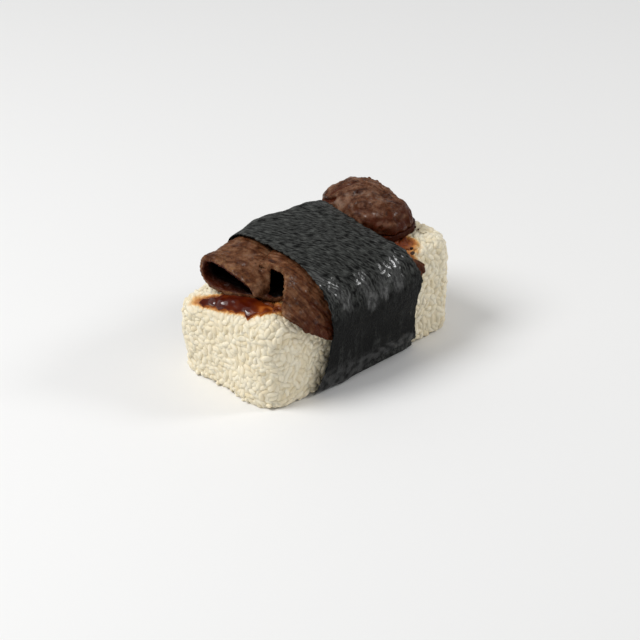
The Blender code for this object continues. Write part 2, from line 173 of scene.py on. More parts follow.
def rice_block():
    """The pressed block, cut into small even faces."""
    mesh = bmesh.new()
    length = RICE_FAR_END - RICE_NEAR_END
    bmesh.ops.create_cube(mesh, size=1.0)
    bmesh.ops.scale(mesh, vec=(length, RICE_WIDTH, RICE_NEAR_HEIGHT), verts=mesh.verts)
    middle = ((RICE_FAR_END + RICE_NEAR_END) / 2, 0, RICE_NEAR_HEIGHT / 2)
    bmesh.ops.translate(mesh, vec=middle, verts=mesh.verts)
    flat = 1e-6
    top = RICE_NEAR_HEIGHT - flat
    upright = lambda edge: abs(edge.verts[0].co.z - edge.verts[1].co.z) > flat
    at_top = lambda edge: min(vert.co.z for vert in edge.verts) > top
    at_foot = lambda edge: max(vert.co.z for vert in edge.verts) < flat
    bevel_edges(mesh, upright, RICE_CORNER, RICE_ROUND_STEPS)
    bevel_edges(mesh, at_top, RICE_SHOULDER, RICE_ROUND_STEPS)
    bevel_edges(mesh, at_foot, RICE_FOOT, RICE_FOOT_STEPS)
    cuts_each_side = int(RICE_WIDTH / 2 / RICE_CUT)
    cuts = [((RICE_NEAR_END + RICE_CUT * i, 0, 0), (1, 0, 0)) for i in range(1, int(length / RICE_CUT) + 1)]
    cuts += [((0, RICE_CUT * i, 0), (0, 1, 0)) for i in range(-cuts_each_side, cuts_each_side + 1)]
    cuts += [((0, 0, RICE_CUT * i), (0, 0, 1)) for i in range(1, int(RICE_NEAR_HEIGHT / RICE_CUT) + 1)]
    cuts += [((x, 0, 0), (1, 0, 0)) for x in (BAND_NEAR, BAND_FAR)]
    for place, normal in cuts:
        everything = mesh.verts[:] + mesh.edges[:] + mesh.faces[:]
        bmesh.ops.bisect_plane(mesh, geom=everything, plane_co=place, plane_no=normal)
    bmesh.ops.triangulate(mesh, faces=mesh.faces[:])
    for vert in mesh.verts:
        vert.co = pressed_rice(vert.co)
    mesh.normal_update()
    return mesh


# The rice's near top edge is an arc round an axis at this x and z, in millimetres. For places along it, as
# millimetres of y, the pairs give the sauce's lower and upper limits in degrees of that arc from straight up.
SAUCE_AXIS = (-37.5, 26.5)
SAUCE_EDGE = ((-17, 2), (-14.2, 20), (-10.2, 36), (-4.2, 46), (1.8, 55), (9.8, 64), (16.8, 73), (22.8, 84),
              (25, 84))
SAUCE_UPPER = ((0, -30), (5, 10), (10, 37), (16, 56), (19, 66), (24, 70))
STAIN_FADE = (7.0, -3.0)
STAIN_ENDS = ((-19, -16), (23, 18.5))

# Stains under the fold and beside it: middle and reach in x and y, unevenness, fade, lowest heights, strength
FAR_STAINS = (
    ((28.0, -14.0), (6.4, 7.0), 0.25, (1.1, 0.45), (33, 37), 1.0),
    ((25.0, -21.5), (4.0, 4.0), 0.2, (1.1, 0.3), (28, 33), 0.7),
)


def turned_from_up(place):
    """Where a place in millimetres is on the arc of the near top edge, in degrees from straight up."""
    return math.degrees(math.atan2(SAUCE_AXIS[0] - place.x, place.z - SAUCE_AXIS[1]))


def stain_at(place):
    """How much sauce the rice has taken up, from 0 to 1."""
    place = place / MM
    wander = noise.noise(place / 3.2) + 0.5 * noise.noise(place / 1.2)
    turned = turned_from_up(place) + 3.0 * wander
    near = ease(turned - between(SAUCE_EDGE, place.y), *STAIN_FADE)
    near *= ease(place.x, -30, -36)
    near *= ease(place.z, 22, 27)
    near *= ease(turned - between(SAUCE_UPPER, place.y), -20, 0)
    near *= ease(place.y, *STAIN_ENDS[0]) * ease(place.y, *STAIN_ENDS[1]) * (1 - 0.4 * ease(place.y, 14, 19))
    stains = [near]
    for (x, y), (long, wide), uneven, fade, heights, strength in FAR_STAINS:
        away = math.hypot((place.x - x) / long, (place.y - y) / wide)
        stains.append(strength * ease(away + wander * uneven, *fade) * ease(place.z, *heights))
    return max(stains)


RICE_COLOURS = ((0.88, 0.80, 0.625), (0.77, 0.66, 0.45))


def new_material(name):
    """A material, its nodes, its links and its shader."""
    material = bpy.data.materials.new(name)
    material.use_nodes = True
    nodes = material.node_tree.nodes
    return material, nodes, material.node_tree.links, nodes["Principled BSDF"]


def attribute(nodes, name):
    """A node that reads a value stored in the mesh."""
    node = nodes.new("ShaderNodeAttribute")
    node.attribute_name = name
    return node


def colour_ramp(nodes, links, factor, colours):
    """The colour at factor on a ramp through (place, colour) pairs."""
    node = nodes.new("ShaderNodeValToRGB")
    stops = node.color_ramp.elements
    for index, (at, colour) in enumerate((colours[0], colours[-1])):
        stops[index].position = at
        stops[index].color = (*colour, 1)
    for at, colour in colours[1:-1]:
        stop = stops.new(at)
        stop.color = (*colour, 1)
    links.new(factor, node.inputs["Fac"])
    return node.outputs["Color"]


def rice_material(name, light, shade):
    """Cream rice, more or less see-through from grain to grain, that sauce turns orange-brown."""
    material, nodes, links, shader = new_material(name)
    tone = attribute(nodes, "tone")
    stain = attribute(nodes, "stain")
    place = nodes.new("ShaderNodeTexCoord")
    cloud = nodes.new("ShaderNodeTexNoise")
    cloud.inputs["Scale"].default_value = 420.0
    cloud.inputs["Detail"].default_value = 3.0
    links.new(place.outputs["Object"], cloud.inputs["Vector"])
    grain_colour = nodes.new("ShaderNodeMix")
    grain_colour.data_type = "RGBA"
    grain_colour.inputs["A"].default_value = (*shade, 1)
    grain_colour.inputs["B"].default_value = (*light, 1)
    links.new(tone.outputs["Fac"], grain_colour.inputs["Factor"])
    soaked = colour_ramp(nodes, links, stain.outputs["Fac"], (
        (0.0, (1.0, 1.0, 1.0)), (0.25, (0.90, 0.62, 0.34)), (0.55, (0.60, 0.26, 0.08)),
        (1.0, (0.20, 0.045, 0.012))))
    tinted = nodes.new("ShaderNodeMix")
    tinted.data_type = "RGBA"
    tinted.blend_type = "MULTIPLY"
    tinted.inputs["Factor"].default_value = 1.0
    links.new(grain_colour.outputs["Result"], tinted.inputs["A"])
    links.new(soaked, tinted.inputs["B"])
    links.new(tinted.outputs["Result"], shader.inputs["Base Color"])
    gloss = nodes.new("ShaderNodeMapRange")
    gloss.inputs["To Min"].default_value = 0.38
    gloss.inputs["To Max"].default_value = 0.6
    links.new(cloud.outputs["Fac"], gloss.inputs["Value"])
    links.new(gloss.outputs["Result"], shader.inputs["Roughness"])
    shader.inputs["Subsurface Weight"].default_value = 0.4
    shader.inputs["Subsurface Radius"].default_value = (0.9, 0.9, 1.0)
    shader.inputs["Subsurface Scale"].default_value = 0.6 * MM
    shader.inputs["Specular IOR Level"].default_value = 0.3
    return material


def store_rice_attributes(mesh, tone_of):
    """Stores at each point how light the rice is there and how much sauce it has taken up."""
    tone = mesh.verts.layers.float.new("tone")
    stain = mesh.verts.layers.float.new("stain")
    for vert in mesh.verts:
        vert[tone] = tone_of(vert)
        vert[stain] = stain_at(vert.co)


def rice_core():
    """The rice below the grains, which closes the gaps between them."""
    mesh = rice_block()
    for vert in mesh.verts:
        lumps = noise.noise(vert.co / CORE_LUMP)
        vert.co += vert.normal * (CORE_RELIEF * lumps - CORE_SUNK) * MM
        vert.co.z = max(vert.co.z, 0.0)
    # Painted shade: the core, seen only between the grains, takes a darker tone than most grains.
    store_rice_attributes(mesh, lambda vert: CORE_TONE)
    return new_piece("rice_core", mesh, rice_material("rice_core", *RICE_COLOURS))


# The nori starts on the shown side, low down, and goes under the block, up the back and over the top to a lap.
# Its two edges are pairs of degrees round the belt from +Y and millimetres of x, before the shift.
NORI_START = 197
NORI_END = 575
NORI_CENTRE = Vector((0.0, 1.8 * MM, 20 * MM))
NORI_SHIFT = 1.1 * MM
NORI_FRONT = ((197, -22), (225, -28), (315, -27), (350, -26), (410, -25.8), (430, -25), (480, -24.4),
              (505, -23.6), (530, -22.9), (548, -24.2), (562, -26.5), (575, -29.5))
NORI_BACK = ((197, 23.0), (225, 22.5), (315, 24), (350, 22), (410, 17), (430, 16.2), (450, 16.2), (465, 16.8),
             (480, 17.5), (500, 20), (515, 22), (522, 22.5), (532, 21.2), (555, 20.5), (575, 20.5))


UNDER_NORI = 5.5
BACK_UNDER_NORI = 1.5
UNDER_BEEF_X = (-36, -20)
UNDER_BEEF_Y = (-12, 20)
UNDER_BEEF_Z = 35
BARE_END = 40


def inside_nori(place):
    """How far a point is inside the nori's nearer edge, in millimetres; below 0 where the rice is bare."""
    angle = math.degrees(math.atan2(place.z - NORI_CENTRE.z, place.y - NORI_CENTRE.y)) % 360
    angle += 360 if angle < NORI_END - 360 else 0
    x = (place.x - NORI_SHIFT) / MM
    return min(x - between(NORI_FRONT, angle), between(NORI_BACK, angle) - x)


def solid_tree(node):
    """A search tree of one of the frame's solids."""
    mesh = bmesh.new()
    mesh.from_mesh(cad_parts[node].data)
    tree = BVHTree.FromBMesh(mesh)
    mesh.free()
    return tree


def exposed(place):
    """Whether the rice shows there, or nearly so, and isn't under the nori, the beef or on the underside."""
    x, y, z = (part / MM for part in place)
    if inside_nori(place) > UNDER_NORI:
        return False
    if z > UNDER_BEEF_Z and UNDER_BEEF_X[0] < x < UNDER_BEEF_X[1] and UNDER_BEEF_Y[0] < y < UNDER_BEEF_Y[1]:
        return False
    return z > 0.4 * GRAIN_WIDTH / MM or abs(x) > BARE_END


def plain_grain():
    """The points and faces of a grain one unit across, before its own size and bend."""
    pattern = bmesh.new()
    bmesh.ops.create_uvsphere(pattern, u_segments=8, v_segments=6, radius=0.5)
    points = [vert.co.copy() for vert in pattern.verts]
    faces = [[vert.index for vert in face.verts] for face in pattern.faces]
    pattern.free()
    return points, faces


def place_on(face, draw):
    """A random place on a face with three corners."""
    a, b, c = sorted((vert.co for vert in face.verts), key=tuple)
    s, t = draw.random(), draw.random()
    if s + t > 1:
        s, t = 1 - s, 1 - t
    return a + (b - a) * s + (c - a) * t


def crowded(place, taken):
    """Whether a grain is nearer than the spacing. If none is, the place is taken from now on."""
    cell = tuple(int(part // GRAIN_SPACING) for part in place)
    near = [other for i in (-1, 0, 1) for j in (-1, 0, 1) for k in (-1, 0, 1)
            for other in taken.get((cell[0] + i, cell[1] + j, cell[2] + k), ())]
    if any((place - other).length < GRAIN_SPACING for other in near):
        return True
    taken.setdefault(cell, []).append(place)
    return False


def laid_grain(place, normal, nori, draw):
    """The move of a plain grain to its place, lying on the rice, and sunk more where the nori is close."""
    size = draw.uniform(*GRAIN_SIZES)
    wide = GRAIN_WIDTH * size * draw.uniform(*GRAIN_WIDTHS)
    shape = Matrix.Diagonal((wide, wide * GRAIN_FLATNESS, GRAIN_LENGTH * size, 1))
    lie_down = Matrix.Rotation(math.pi / 2 + math.radians(draw.uniform(-GRAIN_TILT, GRAIN_TILT)), 4, "X")
    spin = Matrix.Rotation(draw.uniform(0, 2 * math.pi), 4, "Z")
    face_out = normal.to_track_quat("Z", "Y").to_matrix().to_4x4()
    to_nori = nori.find_nearest(place)[3] / MM
    by_nori = ease(to_nori, 1.5, 0.8) * ease(inside_nori(place), -0.6, 0.3)
    sunk = draw.uniform(*GRAIN_SUNK) + GRAIN_SUNK_BY_NORI * by_nori
    return Matrix.Translation(place - normal * sunk) @ face_out @ spin @ lie_down @ shape


def grains_over_rice():
    """Grains over the block, from seeded draws that keep their distance from those before."""
    draw = random.Random(GRAIN_SEED)
    nori = solid_tree("nori")
    block = rice_block()
    faces = [face for face in block.faces if exposed(face.calc_center_median())]
    faces.sort(key=lambda face: tuple(round(part / MM, 3) for part in face.calc_center_median()))
    areas = [face.calc_area() for face in faces]
    grain_points, grain_faces = plain_grain()
    points = []
    corners = []
    tones = []
    taken = {}
    for face in draw.choices(faces, areas, k=GRAIN_DRAWS):
        place = place_on(face, draw)
        if crowded(place, taken):
            continue
        place_it = laid_grain(place, face.normal, nori, draw)
        own_tone = draw.betavariate(3.0, 1.5)
        if place.y > 0 and inside_nori(place) > BACK_UNDER_NORI:
            continue
        first = len(points)
        for point in grain_points:
            moved = place_it @ point
            moved += noise.noise_vector(moved / GRAIN_BEND_SIZE) * GRAIN_BEND * MM
            moved.z = max(moved.z, 0.0)
            points.append(moved)
            tones.append(own_tone)
        corners += [[first + index for index in face] for face in grain_faces]
    block.free()
    data = bpy.data.meshes.new("grains")
    data.from_pydata(points, [], corners)
    mesh = bmesh.new()
    mesh.from_mesh(data)
    mesh.verts.ensure_lookup_table()
    store_rice_attributes(mesh, lambda vert: tones[vert.index])
    return new_piece("rice_grains", mesh, rice_material("rice_grains", *RICE_COLOURS))


rice_pieces = [rice_core(), grains_over_rice()]
for piece in rice_pieces:
    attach(piece, "root")
    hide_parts("rice")


# Near slice of beef
# A thin slice of grilled beef, rolled loosely so that the roll stays open at the near end.
# It is brown and fibrous, lighter where the fat has browned, and dark red with glaze inside, with painted
# shade far into the hollow.

BEEF_VOXEL = 0.34
BEEF_SMOOTHING = 4


def even_copy(node, name, voxel, smoothing, add=None):
    """A copy of a solid with even faces of voxel millimetres and rounded edges, so that it takes relief."""
    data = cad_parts[node].data.copy()
    to_mm = Matrix.Scale(1 / MM, 4)
    mesh = bmesh.new()
    mesh.from_mesh(data)
    bmesh.ops.remove_doubles(mesh, verts=mesh.verts, dist=1e-6)
    mesh.transform(to_mm)
    if add:
        add(mesh)
    mesh.to_mesh(data)
    mesh.free()
    obj = bpy.data.objects.new(name, data)
    scene.collection.objects.link(obj)
    remesh = obj.modifiers.new("even faces", "REMESH")
    remesh.mode = "VOXEL"
    remesh.voxel_size = voxel
    graph = bpy.context.evaluated_depsgraph_get()
    evened = bpy.data.meshes.new_from_object(obj.evaluated_get(graph))
    bpy.data.objects.remove(obj)
    mesh = bmesh.new()
    mesh.from_mesh(evened)
    for _ in range(smoothing):
        bmesh.ops.smooth_vert(
            mesh, verts=mesh.verts, factor=0.5, use_axis_x=True, use_axis_y=True, use_axis_z=True)
    mesh.transform(to_mm.inverted())
    mesh.normal_update()
    return mesh


def beef_material(name, brown, dark, light, fat):
    """Glazed beef: fibres that run along the slice, patches of darker and lighter brown, and browned fat."""
    material, nodes, links, shader = new_material(name)
    fibre = attribute(nodes, "fibre")
    painted_shade_and_glaze = attribute(nodes, "painted_shade_and_glaze")
    fat_and_painted_highlight = attribute(nodes, "fat_and_painted_highlight")
    place = nodes.new("ShaderNodeTexCoord")

    def pattern(vector, scale, detail, roughness=0.55):
        texture = nodes.new("ShaderNodeTexNoise")
        texture.inputs["Scale"].default_value = scale
        texture.inputs["Detail"].default_value = detail
        texture.inputs["Roughness"].default_value = roughness
        links.new(vector, texture.inputs["Vector"])
        return texture.outputs["Fac"]

    def mixed(factor, first, second):
        mix = nodes.new("ShaderNodeMix")
        mix.data_type = "RGBA"
        links.new(factor, mix.inputs["Factor"])
        for key, value in (("A", first), ("B", second)):
            if isinstance(value, tuple):
                mix.inputs[key].default_value = (*value, 1)
            else:
                links.new(value, mix.inputs[key])
        return mix.outputs["Result"]

    def spread(value, low, high, result_low=0.0, result_high=1.0):
        mapping = nodes.new("ShaderNodeMapRange")
        mapping.inputs["From Min"].default_value = low
        mapping.inputs["From Max"].default_value = high
        mapping.inputs["To Min"].default_value = result_low
        mapping.inputs["To Max"].default_value = result_high
        links.new(value, mapping.inputs["Value"])
        return mapping.outputs["Result"]

    streaks = spread(pattern(fibre.outputs["Vector"], 1.0, 4.0), 0.38, 0.62)
    patches = spread(pattern(place.outputs["Object"], 230.0, 5.0, 0.65), 0.42, 0.60)
    specks = spread(pattern(place.outputs["Object"], 900.0, 2.0), 0.60, 0.72)
    colour = mixed(streaks, dark, brown)
    colour = mixed(patches, colour, mixed(streaks, brown, light))
    # The fat colour also paints highlights on lit edges and spots.
    colour = mixed(spread(fat_and_painted_highlight.outputs["Fac"], 0.0, 1.0), colour, fat)
    char = nodes.new("ShaderNodeMath")
    char.operation = "MULTIPLY"
    char.inputs[1].default_value = 0.55
    links.new(specks, char.inputs[0])
    colour = mixed(char.outputs["Value"], colour, (0.012, 0.006, 0.004))
    # Dark red glaze, then near black as painted shade in the hollow, the creases, under turned slices and on
    # sides away from the light.
    colour = mixed(spread(painted_shade_and_glaze.outputs["Fac"], 0.0, 0.5), colour, (0.060, 0.0105, 0.003))
    colour = mixed(spread(painted_shade_and_glaze.outputs["Fac"], 0.5, 1.0), colour, (0.0016, 0.0005, 0.0003))
    links.new(colour, shader.inputs["Base Color"])
    rough = spread(pattern(place.outputs["Object"], 260.0, 3.0), 0.3, 0.7, 0.28, 0.6)
    links.new(rough, shader.inputs["Roughness"])
    relief = nodes.new("ShaderNodeBump")
    relief.inputs["Strength"].default_value = 0.7
    relief.inputs["Distance"].default_value = 0.3 * MM
    links.new(pattern(fibre.outputs["Vector"], 2.4, 5.0, 0.65), relief.inputs["Height"])
    links.new(relief.outputs["Normal"], shader.inputs["Normal"])
    shader.inputs["Subsurface Weight"].default_value = 0.12
    shader.inputs["Subsurface Radius"].default_value = (1.0, 0.35, 0.2)
    shader.inputs["Subsurface Scale"].default_value = 1.0 * MM
    shader.inputs["Specular IOR Level"].default_value = 0.08
    links.new(spread(pattern(place.outputs["Object"], 340.0, 3.0), 0.55, 0.80), shader.inputs["Coat Weight"])
    shader.inputs["Coat Roughness"].default_value = 0.24
    return material


def dress_beef(mesh, name, material, fibre_of, relief_of, painted_shade_and_glaze_of, fat_and_painted_highlight_of):
    """Gives a slice its relief and the attributes that its material reads."""
    fibre = mesh.verts.layers.float_vector.new("fibre")
    painted_shade_and_glaze = mesh.verts.layers.float.new("painted_shade_and_glaze")
    fat_and_painted_highlight = mesh.verts.layers.float.new("fat_and_painted_highlight")
    moved = []
    for vert in mesh.verts:
        place = vert.co / MM
        along = fibre_of(place)
        vert[fibre] = along
        vert[painted_shade_and_glaze] = painted_shade_and_glaze_of(place, vert.normal)
        vert[fat_and_painted_highlight] = fat_and_painted_highlight_of(place, vert.normal)
        moved.append(vert.co + vert.normal * relief_of(place, along) * MM)
    for vert, place in zip(mesh.verts, moved):
        vert.co = place
    return new_piece(name, mesh, material)


CURL_ROLL_Y = 14.5
CURL_ROLL_Z = 42.4


def curl_fibre(place):
    """Across the fibres is along the roll's length, with a slant."""
    around = math.atan2(place.z - CURL_ROLL_Z, place.y - CURL_ROLL_Y) * 5.0
    across = place.x + 0.25 * place.y
    return Vector((across / 1.9, place.y / 2.8 + around * 0.1, place.z / 2.8))


def crease(place, points, depth, width):
    """The height that a crease along the line through points gives a place, in millimetres: 0 or less."""
    nearest = 9.0
    for a, b in zip(points, points[1:]):
        along = b - a
        share = min(1.0, max(0.0, (place - a).dot(along) / along.length_squared))
        nearest = min(nearest, (place - a - along * share).length)
    return -depth * math.exp(-(nearest / width) ** 2)


# Creases in each slice: the points of a line in millimetres, the depth and the half width
CURL_CREASES = (
    ((Vector((-38.4, 9.0, 48.2)), Vector((-37.2, 4.0, 47.6)), Vector((-36.4, -1.0, 46.2))), 0.45, 0.9),
    ((Vector((-33.5, 6.0, 48.3)), Vector((-33.0, 1.0, 48.0)), Vector((-33.2, -3.4, 47.0))), 0.4, 0.8),
)


def curl_relief(place, along):
    lumps = 0.45 * noise.noise(place / 5.5) + 0.30 * noise.noise(place / 2.2)
    fibres = 0.22 * noise.noise(along * 1.6) + 0.10 * noise.noise(along * 3.4)
    rim = ease(place.x, -39.0, -42.5)
    crags = 0.30 * rim * noise.noise(place / 1.2)
    lines = sum(crease(place, *one) for one in CURL_CREASES) if place.z > 43 else 0.0
    return lumps + fibres + crags + lines + 0.08 * noise.noise(place / 0.7)


TONGUE_LOWEST = 38.9
TONGUE_WIDER = 1.9 * MM


def widen_tongue(mesh):
    """Brings the tongue's edge at the slit nearer to the slice over the shoulder."""
    for vert in mesh.verts:
        place = vert.co / MM
        if place.z > TONGUE_LOWEST:
            wider = TONGUE_WIDER * ease(place.y, -2.0, -5.0)
            vert.co.x += wider * ease(place.x, -38.0, -33.5) * ease(place.x, -28, -31)
    return mesh


def curl_painted_shade_and_glaze(place, normal):
    """How dark the wall of the hollow is: soaked in glaze, and painted shade where it is out of the light."""
    middle_y = 14.2 + 0.05 * (place.x + 40)
    inside = place.y - middle_y
    to_axis = Vector((0, middle_y - 1.0 - place.y, CURL_ROLL_Z - place.z))
    facing_in = to_axis.length > 0 and normal.dot(to_axis.normalized()) > 0.2
    # Painted shade: darker the further into the hollow.
    shut_in = ease(place.x, -44.5, -37.5)
    if inside < 0:
        facing_in = (place.z > 41.5 and normal.z < -0.1) or (place.z < 40.5 and normal.z > 0.3)
        if place.y < -6 and place.x < -34.5:
            shut_in *= 0.4
    return 0.42 + 0.58 * shut_in if facing_in and place.z > 37 else 0.0


def curl_fatty(place, normal):
    """Browned fat in bits along the rims and the slit."""
    rim = ease(place.x, -39.0, -40.8) * ease(place.y, 14, 9)
    lower_edge = ease(place.z, 39.0, 37.0) * ease(place.x, -33.0, -37.0)
    bits = ease(noise.noise(place / 1.6), 0.05, 0.45)
    return 0.5 * max(rim, 0.6 * lower_edge) * bits


curl = dress_beef(
    widen_tongue(even_copy("beef_curl", "beef_roll", BEEF_VOXEL, BEEF_SMOOTHING)),
    "beef_roll",
    beef_material("beef_roll", (0.122, 0.046, 0.018), (0.050, 0.014, 0.005), (0.215, 0.108, 0.058),
                  (0.30, 0.15, 0.06)),
    curl_fibre,
    curl_relief,
    curl_painted_shade_and_glaze,
    curl_fatty,
)
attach(curl, "root")
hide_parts("beef_curl")


# Slice over the shoulder
# The second slice lies on the roll and hangs down the long side of the rice, under the nori.
# Its fibres run from the top down the side, and the glaze on it is thick and dark at the bottom.

def drape_fibre(place):
    """Along the fibres is the way from the top down the side."""
    down = -place.y + (48 - place.z)
    across = place.x - 0.28 * down
    return Vector((across / 1.15, down / 7.0, 0.0))


DRAPE_CREASES = (
    ((Vector((-27.3, -14.9, 46.8)), Vector((-26.2, -17.3, 44.9)), Vector((-25.1, -18.8, 43.6))), 1.0, 0.55),
    ((Vector((-26.5, -22.6, 38.0)), Vector((-24.5, -24.6, 35.2)), Vector((-22.1, -26.2, 31.6))), 0.9, 0.55),
    ((Vector((-28.4, -26.2, 31.6)), Vector((-25.2, -26.8, 29.0)), Vector((-22.4, -27.0, 27.0))), 0.9, 0.6),
    ((Vector((-28.4, -18.3, 43.0)), Vector((-27.8, -20.8, 40.0)), Vector((-27.2, -23.2, 37.0)),
      Vector((-25.9, -24.9, 34.2))), 0.6, 0.6),
    ((Vector((-36.1, -21.4, 39.0)), Vector((-35.5, -23.9, 36.4)), Vector((-33.3, -25.7, 33.8))), 0.6, 0.6),
    ((Vector((-31.5, -21.0, 40.4)), Vector((-31.0, -24.0, 36.2)), Vector((-29.6, -26.0, 33.0))), 0.5, 0.6),
)


def drape_relief(place, along):
    lumps = 0.42 * noise.noise(place / 6.0) + 0.25 * noise.noise(place / 2.4)
    fibres = 0.58 * noise.noise(along * 0.9) + 0.30 * noise.noise(along * 1.9)
    fibres += 0.12 * noise.noise(along * 3.6)
    lines = sum(crease(place, *one) for one in DRAPE_CREASES)
    return lumps + fibres + lines + 0.07 * noise.noise(place / 0.8)


SEAM = (Vector((-33.0, -4.6)), Vector((-22.6, 2.9)))
SEAM_REACH = 2.2
SEAM_PATCH = (22, 7)
SEAM_LOWEST = 44
SEAM_USUAL = 47.6
SEAM_SUNK = 0.15
SEAM_THICKNESS = 1.5
ABOVE_ALL = 60


def add_seam_patch(mesh):
    """Joins the slice to the roll's top, which it grows out of: a ramp of meat over the line between them."""
    trees = [solid_tree(node) for node in ("beef_curl", "beef_drape")]
    along = (SEAM[1] - SEAM[0]).normalized()
    across = Vector((along.y, -along.x))
    steps, lines = SEAM_PATCH
    grid = []
    for i in range(steps):
        flat = SEAM[0].lerp(SEAM[1], i / (steps - 1))
        row = []
        for j in range(lines):
            side = (j / (lines - 1) * 2 - 1) * SEAM_REACH
            spot = flat + across * side
            start = Vector((spot.x, spot.y, ABOVE_ALL)) * MM
            hits = [tree.ray_cast(start, Vector((0, 0, -1)))[0] for tree in trees]
            tops = [hit.z / MM for hit in hits if hit and hit.z > SEAM_LOWEST * MM]
            row.append((spot, max(tops) if tops else None))
        known = [j for j in range(lines) if row[j][1] is not None]
        pairs = [(k, row[k][1]) for k in known]
        heights = [between(pairs, j) if known else SEAM_USUAL for j in range(lines)]
        grid.append([Vector((spot.x, spot.y, height - SEAM_SUNK)) for (spot, _), height in zip(row, heights)])
    upper = [[mesh.verts.new(place) for place in row] for row in grid]
    lower = [[mesh.verts.new(place - Vector((0, 0, SEAM_THICKNESS))) for place in row] for row in grid]
    for i in range(steps - 1):
        for j in range(lines - 1):
            mesh.faces.new((upper[i][j], upper[i + 1][j], upper[i + 1][j + 1], upper[i][j + 1]))
            mesh.faces.new((lower[i][j], lower[i][j + 1], lower[i + 1][j + 1], lower[i + 1][j]))
    ring = [(i, 0) for i in range(steps)] + [(steps - 1, j) for j in range(1, lines)]
    ring += [(i, lines - 1) for i in range(steps - 2, -1, -1)] + [(0, j) for j in range(lines - 2, 0, -1)]
    for (i, j), (k, l) in zip(ring, ring[1:] + ring[:1]):
        mesh.faces.new((upper[i][j], lower[i][j], lower[k][l], upper[k][l]))
    bmesh.ops.recalc_face_normals(mesh, faces=mesh.faces)


def drape_painted_shade_and_glaze(place, normal):
    """Painted shade where the slice turns under and in the creases, and dark low down where the glaze is
    thick.
    """
    # Painted shade on faces turned down, under the slice.
    under = 0.9 if normal.z < -0.25 and place.z > 40 else 0.0
    low = 0.42 * ease(place.z, 39, 30) * ease(noise.noise(place / 4.0), -0.7, 0.2)
    # Painted shade along the creases.
    lines = sum(crease(place, *one) for one in DRAPE_CREASES)
    return max(under, low, min(0.6, -0.75 * lines))


def drape_fat_and_painted_highlight(place, normal):
    """Fat strands along the edge over the gap, and a painted highlight on the cut edge that faces the light.
    """
    over_gap = ease(place.x, -28.6, -30.4) * ease(place.z, 44.5, 46.5)
    # Painted highlight: lighter where the cut edge faces the light, at the near end.
    painted_lit_edge = 0.4 * ease(normal.x, -0.6, -0.95) * ease(noise.noise(place / 1.8), -0.4, 0.2)
    painted_lit_edge *= ease(place.z, 33, 36)
    strands = ease(noise.noise(Vector(((place.y + 0.4 * place.z) / 1.3, place.x / 5.0, 2.0))), 0.0, 0.4)
    return max(0.7 * over_gap * strands, painted_lit_edge)


drape = dress_beef(
    even_copy("beef_drape", "beef_over_shoulder", BEEF_VOXEL, BEEF_SMOOTHING, add_seam_patch),
    "beef_over_shoulder",
    beef_material("beef_over_shoulder", (0.115, 0.039, 0.014), (0.036, 0.009, 0.003), (0.205, 0.096, 0.048),
                  (0.36, 0.20, 0.10)),
    drape_fibre,
    drape_relief,
    drape_painted_shade_and_glaze,
    drape_fat_and_painted_highlight,
)
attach(drape, "root")
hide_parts("beef_drape")


# Far slices
# A flat slice on the far end of the rice, and a thick one folded over on it with its edges tucked in.
# The fold is browned and blistered on top, wet with glaze below, and pulled into small crags.

def far_fibre(place):
    turn = 0.45 * (place.x - 30)
    return Vector((place.x / 1.8 + 0.2 * place.y, (place.y + turn) / 2.6, place.z / 2.0))


def far_slice_relief(place, along):
    return 0.35 * noise.noise(place / 3.0) + 0.15 * noise.noise(place / 1.1)


far_slice = dress_beef(
    even_copy("beef_far_slice", "beef_under_fold", BEEF_VOXEL, BEEF_SMOOTHING),
    "beef_under_fold",
    beef_material("beef_under_fold", (0.075, 0.024, 0.010), (0.026, 0.006, 0.003), (0.13, 0.05, 0.024),
                  (0.3, 0.13, 0.05)),
    far_fibre,
    far_slice_relief,
    # Glaze and painted shade: darker where the fold lies over the slice, lighter at its edge towards -y.
    lambda place, normal: 0.15 + 0.5 * ease(place.y, -19, -15),
    lambda place, normal: 0.0,
)
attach(far_slice, "root")
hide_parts("beef_far_slice")


FOLD_FAT_LINE = (Vector((22.5, 9.0, 52.2)), Vector((25.5, 4.0, 53.4)), Vector((26.6, -1.0, 53.8)),
                 Vector((29.0, -4.0, 53.6)))
FOLD_CREASES = (
    ((Vector((20.8, 13.8, 49.8)), Vector((20.6, 16.7, 48.0)), Vector((21.5, 18.8, 46.6))), 1.3, 0.9),
    ((Vector((20.2, 1.4, 49.6)), Vector((20.6, -1.2, 50.4)), Vector((21.6, -3.6, 50.2)),
      Vector((22.4, -4.6, 49.4))), 0.45, 1.2),
    (FOLD_FAT_LINE, 0.6, 0.8),
    ((Vector((28.2, 12.0, 54.4)), Vector((24.6, 15.0, 53.0)), Vector((22.0, 17.5, 50.5))), 0.9, 1.0),
    ((Vector((22.6, -6.5, 48.0)), Vector((24.5, -9.8, 47.0)), Vector((28.6, -12.4, 47.0))), 0.7, 0.8),
)
FOLD_SHOULDER = Vector((33.5, -2.0, 54.0))


def fold_relief(place, along):
    """Blisters on the crown, creases where the slice is folded, and crags along the lower lip."""
    blisters = 0.30 * noise.noise(place / 2.4) + 0.20 * noise.noise(place / 0.9) * ease(place.z, 48, 52)
    on_crown = 0.35 * ease(noise.noise(place / 1.5), 0.2, 0.5)
    blisters += on_crown * ease(place.z, 50, 53) * ease(place.x, 27, 31)
    swells = 0.6 * noise.noise(place / 6.5)
    ridge_place = Vector((place.x / 2.6, place.y / 5.0, place.z / 3.0)) + Vector((3.1, 0, 0))
    ridge = 1.0 - abs(noise.noise(ridge_place)) * 2
    crags = 0.5 * ridge * ease(place.z, 51, 46)
    lines = sum(crease(place, *one) for one in FOLD_CREASES)
    flat_shoulder = -2.0 * ease((place - FOLD_SHOULDER).length, 9.0, 2.0)
    return swells + blisters + crags + lines + flat_shoulder


